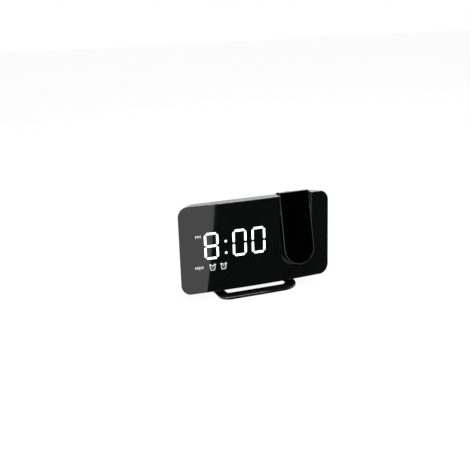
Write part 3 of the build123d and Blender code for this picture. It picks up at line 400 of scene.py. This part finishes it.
# %% The clock's finishes
finishes = {
    "face_gloss": finish("face gloss", tone(3, 5, 4), 0.05, 0.015, 260.0, 0.02, specular=0.75),
    "arm_gloss": finish("arm gloss", tone(1), 0.06, 0.015, 260.0, 0.02, specular=0.6),
    "case_satin": finish("case satin", tone(22), 0.22, 0.04, 1800.0, 0.06),
    "case_grain": finish("case grain", tone(30), 0.52, 0.06, 2600.0, 0.35),
    "stand_gloss": finish("stand gloss", tone(16), 0.16, 0.03, 700.0, 0.04, specular=0.6),
    "button_grey": finish("button grey", tone(58), 0.38, 0.05, 1500.0, 0.08),
    "switch_grey": finish("switch grey", tone(150), 0.5),
    "reflector_white": finish("reflector white", tone(235), 0.4),
    "board_green": finish("board green", tone(22, 92, 54), 0.35, 0.06, 1400.0, 0.2),
    "board_white": finish("board white", tone(228), 0.3, 0.06, 1400.0, 0.15),
    "zinc": finish("zinc plate", tone(178, 180, 184), 0.28, 0.08, 900.0, 0.12, metal=1.0),
    "nickel": finish("nickel plate", tone(205, 203, 198), 0.2, 0.05, 900.0, 0.06, metal=1.0),
    "aluminium": finish("bare aluminium", tone(200, 202, 205), 0.35, 0.08, 1200.0, 0.15, metal=1.0),
    "foot_rubber": finish("foot rubber", tone(24), 0.8, 0.05, 2200.0, 0.4),
    "acetal": finish("acetal", tone(222, 222, 216), 0.45),
    "cone_paper": finish("cone paper", tone(22), 0.85, 0.05, 1600.0, 0.5),
    "lit_white": glow_finish("lit white", tone(255), 0.96),
    "sign_white": glow_finish("sign white", tone(190), 0.75),
    "print_grey": finish("print grey", tone(176), 0.6, grain=1500.0),
    # The next grey is a painted highlight: it colours the bead on the arm's rounded edge in place of the
    # light that edge catches.
    "painted_highlight_grey": finish("painted highlight grey", tone(82, 84, 86), 0.45, grain=1500.0),
    "lens": clear_finish("clear lens", (0.96, 0.98, 1.0, 1), 0.0, 1.49),
    "slide_film": clear_finish("image film", (0.35, 0.08, 0.08, 1), 0.1, 1.45),
    "red_lamp": clear_finish("red lamp", (1.0, 0.35, 0.3, 1), 0.05, 1.5),
}
print("finishes:", len(finishes))

# %% Each solid gets its finish
wears = {
    "face_gloss": ["front_panel"],
    "arm_gloss": ["arm_front_shell"],
    "case_satin": ["front_housing", "snooze_bar"],
    "case_grain": ["rear_housing", "battery_door", "power_inlet", "focus_knob", "arm_rear_shell",
                   "lens_barrel", "optics_housing"],
    "stand_gloss": ["base_loop"],
    "button_grey": ["set_button", "plus_button", "minus_button", "alarm_button", "projector_button",
                    "radio_button"],
    "switch_grey": ["snooze_switch", "button_switches"],
    "reflector_white": ["display_light_box", "usb_tongue"],
    "board_green": ["main_board"],
    "board_white": ["display_board", "led_board"],
    "zinc": ["housing_screws", "board_screws", "base_screws", "arm_screws", "pivot_pins", "pivot_clips",
             "speaker_basket", "coin_cell"],
    "nickel": ["usb_output_port", "cell_contacts", "inlet_pin"],
    "aluminium": ["heat_sink"],
    "foot_rubber": ["foot_pads"],
    "acetal": ["friction_washers"],
    "cone_paper": ["speaker_cone"],
    "lit_white": ["digit_windows", "colon_windows", "display_leds"],
    "lens": ["condenser_lens", "projection_lens"],
    "slide_film": ["image_slide"],
    "red_lamp": ["projector_led"],
}
for finish_name, node_names in wears.items():
    for node_name in node_names:
        solid = frame["nodes"][node_name]
        if not solid.material_slots:
            solid.data.materials.append(finishes[finish_name])
        for material_slot in solid.material_slots:
            material_slot.material = finishes[finish_name]
print("finished:", sum(len(names) for names in wears.values()), "of", len(frame["nodes"]))

# %% [markdown]
# ## Signs on the face
# Beside the digits the display lights four small signs: PM, MEM and two alarm clocks. They could be a
# picture on the panel, but at a few millimetres its edges would blur. Thin plates that follow the panel
# stay sharp. The panel is part of an upright cylinder of radius $R = (w^2/4 + s^2)/(2s)$ for a width $w$
# and a bow $s$. A flat drawing is wrapped on it by moving each point back to
# $y(x) = y_c - \sqrt{R^2 - x^2}$, where $y_c$ is the cylinder's axis.

# %% The bowed panel as a formula
panel_w = 0.1868
panel_bow = 0.0043
panel_ends_y = -0.013793
panel_middle_z = 0.062
panel_r = (panel_w**2 / 4 + panel_bow**2) / (2 * panel_bow)


def panel_y(x):
    """The panel's front at x: y(x) = ends + R - bow - sqrt(R^2 - x^2)."""
    return panel_ends_y + panel_r - panel_bow - np.sqrt(panel_r**2 - x**2)


def on_panel(x, z):
    """A function that puts a flat drawing on the panel's front, centred x, z from the panel's middle: it
    turns arrays u, v and the height d above the surface into places (x + u, y(x + u) - d, z + v)."""
    return lambda u, v, d: np.column_stack([x + u, panel_y(x + u) - d, panel_middle_z + z + v])


print("panel radius:", round(panel_r, 3), "m, its middle at y =", round(float(panel_y(0.0)), 4))


# %% Flat outlines
def disc(x, z, radius, squash=1.0, turn=0.0, count=28):
    """Outline of an ellipse: (r cos t, squash r sin t), turned by turn and moved to (x, z)."""
    t = np.linspace(0, 2 * np.pi, count, endpoint=False)
    u, v = radius * np.cos(t), squash * radius * np.sin(t)
    across = x + u * np.cos(turn) - v * np.sin(turn)
    return [np.column_stack([across, z + u * np.sin(turn) + v * np.cos(turn)])]


def bar(start, end, width):
    """Outline of a straight stroke: each end moved to both sides by half the width."""
    a, b = np.array(start, float), np.array(end, float)
    along = (b - a) / np.linalg.norm(b - a)
    side = np.array([-along[1], along[0]]) * width / 2
    return [np.array([a - side, b - side, b + side, a + side])]


def ring(x, z, outer, inner, count=40):
    """A ring as count blocks that share their ends: r from inner to outer, t one step of the full turn."""
    t = np.linspace(0, 2 * np.pi, count + 1)
    spokes = np.column_stack([np.cos(t), np.sin(t)])
    first, last = spokes[:-1], spokes[1:]
    return list(np.stack([inner * first, outer * first, outer * last, inner * last], axis=1) + (x, z))


print("a ring has", len(ring(0, 0, 2, 1)), "blocks")

# %% Outlines as thin closed plates
touching = 1e-7
plate_thick = 0.0001


def closed(shape, mesh):
    """Turns the faces of a closed shape outwards and writes it into mesh."""
    bmesh.ops.recalc_face_normals(shape, faces=shape.faces)
    shape.to_mesh(mesh)
    shape.free()


def plates(name, outlines, place, thick):
    """Thin closed plates over convex outlines. place(u, v, d) gives the points d above the surface at
    (u, v). An outline makes a floor at -thick / 2, a lid at thick / 2 and a wall from each of its edges.
    Neighbours that share an edge are joined there, and the walls between them are removed."""
    points, faces, start = [], [], 0
    for outline in outlines:
        u, v = np.transpose(outline)
        points += [place(u, v, -thick / 2), place(u, v, thick / 2)]
        low = start + np.arange(len(u))
        high = low + len(u)
        walls = np.column_stack([high, low, np.roll(low, -1), np.roll(high, -1)])
        faces += [high.tolist(), low[::-1].tolist(), *walls.tolist()]
        start += 2 * len(u)
    mesh = bpy.data.meshes.new(name)
    mesh.from_pydata(np.vstack(points).tolist(), [], faces)
    shape = bmesh.new()
    shape.from_mesh(mesh)
    bmesh.ops.remove_doubles(shape, verts=shape.verts, dist=touching)
    doubled = [face for face in shape.faces if all(len(edge.link_faces) > 2 for edge in face.edges)]
    bmesh.ops.delete(shape, geom=doubled, context="FACES")
    closed(shape, mesh)
    return placed(name, mesh)


print("plates are", plate_thick * 1000, "mm thick, half of it above the face")

# %% The two alarm signs
sign_size = 0.0081
sign_z = -0.0225
bell_angle = math.radians(38)
bell_reach, bell_r, bell_squash = 0.56, 0.15, 0.65
hand_w, foot_w = 0.05, 0.07


def alarm_sign(size):
    """A bell clock in shares of its size: a ring with two hands, two bells at bell_angle each side of the
    top, and two feet."""
    outlines = ring(0, 0, 0.40 * size, 0.32 * size)
    outlines += bar((0, -0.02 * size), (0, 0.2 * size), hand_w * size)
    outlines += bar((0, 0), (0.14 * size, -0.08 * size), hand_w * size)
    for side in (-1, 1):
        lean = side * bell_angle
        x, z = bell_reach * size * math.sin(lean), bell_reach * size * math.cos(lean)
        outlines += disc(x, z, bell_r * size, bell_squash, -lean)
        hip, toe = (side * 0.25 * size, -0.35 * size), (side * 0.29 * size, -0.42 * size)
        outlines += bar(hip, toe, foot_w * size)
    return outlines


for sign_name, x in (("alarm_sign_one", -0.0555), ("alarm_sign_two", -0.0424)):
    sign = plates(sign_name, alarm_sign(sign_size), on_panel(x, sign_z), plate_thick)
    sign.data.materials.append(finishes["sign_white"])
    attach(sign, "case")
    print(sign_name, "faces:", len(sign.data.polygons))

# %% [markdown]
# ## Words on the face
# Letters could be drawn stroke by stroke like the signs, but a typeface does it better. Words are set with
# the built-in one, turned into a mesh and then wrapped like the signs. A word is scaled to the box that it
# fills, since the typeface of a display is wider than that of a page.


# %% Words as thin closed plates
def word(name, text, width, height, place, thick=plate_thick):
    """text as a closed plate, scaled to width by height. place(u, v, d) gives the points d above the
    surface at (u, v) from the word's middle. Any depth of the letters will do at first, because all three
    lengths are taken as shares of the word's own box, from -1/2 to 1/2, and then scaled."""
    letters = bpy.data.curves.new(name, "FONT")
    letters.body = text
    letters.extrude = 0.1
    letters.resolution_u = 3
    holder = placed(name, letters)
    bpy.context.view_layer.update()
    mesh = bpy.data.meshes.new_from_object(holder.evaluated_get(bpy.context.evaluated_depsgraph_get()))
    bpy.data.objects.remove(holder)
    points = np.empty(len(mesh.vertices) * 3)
    mesh.vertices.foreach_get("co", points)
    points = points.reshape(-1, 3)
    low, high = points.min(axis=0), points.max(axis=0)
    u, v, d = ((points - (low + high) / 2) / (high - low)).T
    mesh.vertices.foreach_set("co", place(u * width, v * height, d * thick).ravel())
    shape = bmesh.new()
    shape.from_mesh(mesh)
    bmesh.ops.remove_doubles(shape, verts=shape.verts, dist=touching)
    closed(shape, mesh)
    return placed(name, mesh)


panel_words = (
    ("PM", -0.0711, 0.0157, 0.0062, 0.0031),
    ("MEM", -0.0712, -0.0211, 0.0094, 0.0033),
)
for text, x, z, width, height in panel_words:
    label = word(text.lower() + "_sign", text, width, height, on_panel(x, z))
    label.data.materials.append(finishes["sign_white"])
    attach(label, "case")
    print(label.name, "faces:", len(label.data.polygons))

# %% [markdown]
# ## A painted highlight round the arm
# A fine grey bead is set into the rounded edge of the arm's front, down one side, round the lower end and
# up the other. It is a painted highlight: its grey stands in for the light that the arm's rounded edge
# catches. A picture would have to be laid exactly along the edge. A bead needs none: it is a small circle
# carried along the arm's outline, sunk so that only its outer part stands out. The outline is two straight
# runs and a half circle, first worked out flat in the arm's own plane, then leaned with the arm.

# %% The arm's outline, flat
arm_half = 0.01875
arm_top, arm_bend = 0.0222, -0.04425
line_inset = 0.0003


def arm_outline(count=49):
    """Points (across, up) of the line, and their outward directions. The half circle is w (cos t, sin t)
    for t from pi to 2 pi, w being arm_half less line_inset, with its middle at arm_bend. The straight
    runs go from its two ends up to arm_top."""
    w = arm_half - line_inset
    t = np.linspace(np.pi, 2 * np.pi, count)
    out = np.column_stack([np.cos(t), np.sin(t)])
    ends = np.array([[-1.0, 0.0], [1.0, 0.0]])
    tops = w * ends + (0, arm_top)
    points = np.vstack([tops[:1], w * out + (0, arm_bend), tops[1:]])
    return points, np.vstack([ends[:1], out, ends[1:]])


print("outline points:", len(arm_outline()[0]))

# %% A bead carried along it
arm_pivot = np.array(next(joint["pos_m"] for joint in frame["joints"] if joint["name"] == "arm_swing"))
arm_lean = math.radians(11.7)
arm_front = 0.008
line_r = 0.0002
line_sides = 10


def leaned(across, up, forward):
    """Lengths across, up and forward in the arm's own plane as places in the room, from the pivot. With a
    the lean: y = up sin a - forward cos a, z = up cos a + forward sin a."""
    y = up * math.sin(arm_lean) - forward * math.cos(arm_lean)
    z = up * math.cos(arm_lean) + forward * math.sin(arm_lean)
    return arm_pivot + np.stack([across, y, z], axis=-1)


path, outward = arm_outline()
turn = np.linspace(0, 2 * np.pi, line_sides, endpoint=False)
across = path[:, :1] + line_r * outward[:, :1] * np.cos(turn)
up = path[:, 1:] + line_r * outward[:, 1:] * np.cos(turn)
forward = np.broadcast_to(arm_front - line_inset + line_r * np.sin(turn), across.shape)
here = np.arange(across.size).reshape(across.shape)
there = np.roll(here, -1, axis=1)
walls = np.stack([here[:-1], there[:-1], there[1:], here[1:]], axis=-1).reshape(-1, 4)
caps = [here[0].tolist(), here[-1].tolist()]
line_mesh = bpy.data.meshes.new("arm_painted_highlight")
line_mesh.from_pydata(leaned(across, up, forward).reshape(-1, 3).tolist(), [], walls.tolist() + caps)
shape = bmesh.new()
shape.from_mesh(line_mesh)
closed(shape, line_mesh)
# The bead is a painted highlight on the arm's rounded edge.
arm_painted_highlight = placed("arm_painted_highlight", line_mesh)
arm_painted_highlight.data.materials.append(finishes["painted_highlight_grey"])
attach(arm_painted_highlight, "arm")
print("bead faces:", len(line_mesh.polygons))

# %% [markdown]
# ## Print on the back
# Each button and socket is named in small grey print, as on any clock that is set from behind. Real print
# is a film of ink. Here it is a plate of 0.06 mm, half of it above the wall, made by the same function as
# the words on the face, so it is sharp at any distance. The back is flat, so nothing is wrapped: a word is
# only mirrored, to be read from behind.

# %% Names of the buttons and sockets
rear_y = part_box("rear_housing")[1][1]
print_thick = 0.00006
letter_w, letter_h = 0.0014, 0.0017
marks = {"+": (0.0015, 0.0015), "-": (0.0015, 0.0004)}
over_button, over_socket = 0.0021, 0.0023


def on_back(x, z):
    """A function that puts a drawing on the flat back, centred on (x, z) and read from behind: it turns
    arrays u, v and the height d above the wall into places (x - u, rear + d, z + v)."""
    return lambda u, v, d: np.column_stack([x - u, rear_y + d, z + v])


for node_name, text, rise in (
    ("set_button", "SET", over_button),
    ("plus_button", "+", over_button),
    ("minus_button", "-", over_button),
    ("alarm_button", "ALARM", over_button),
    ("projector_button", "PROJ", over_button),
    ("radio_button", "RADIO", over_button),
    ("usb_output_port", "USB", over_socket),
    ("power_inlet", "DC IN", over_socket),
):
    low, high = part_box(node_name)
    x, z = (low[0] + high[0]) / 2, high[2] + rise
    width, height = marks.get(text, (letter_w * len(text), letter_h))
    label = word("print_" + node_name, text, width, height, on_back(x, z), print_thick)
    label.data.materials.append(finishes["print_grey"])
    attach(label, "case")
print("words on the back at y =", round(float(rear_y), 4))
